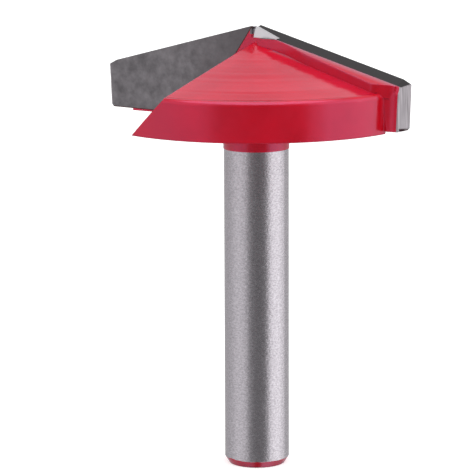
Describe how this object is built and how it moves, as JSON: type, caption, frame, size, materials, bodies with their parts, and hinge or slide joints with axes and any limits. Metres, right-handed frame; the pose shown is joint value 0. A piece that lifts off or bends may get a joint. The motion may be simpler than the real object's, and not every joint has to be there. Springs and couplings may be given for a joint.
{
  "type": "v groove router bit",
  "caption": "V groove router bit with a slim round shank and a wide flat head that carries brazed carbide cutting edges meeting in an obtuse point.",
  "frame": {"origin": "on the shank's axis at the flat end of the shank", "axes": "+Z along the shank towards the V point, cutting edges along +X and -X, the +X edge's rake face towards +Y"},
  "size_m": [0.032, 0.029, 0.041],
  "materials": {
    "body_steel": "glossy red paint on the head and neck, bare ground steel on the shank",
    "carbide": "fine ground",
    "braze": "dull"
  },
  "bodies": {
    "root": {"bit_body": "body_steel", "carbide_tip_1": "carbide", "carbide_tip_2": "carbide", "braze_seam_1": "braze", "braze_seam_2": "braze"}
  },
  "joints": []
}
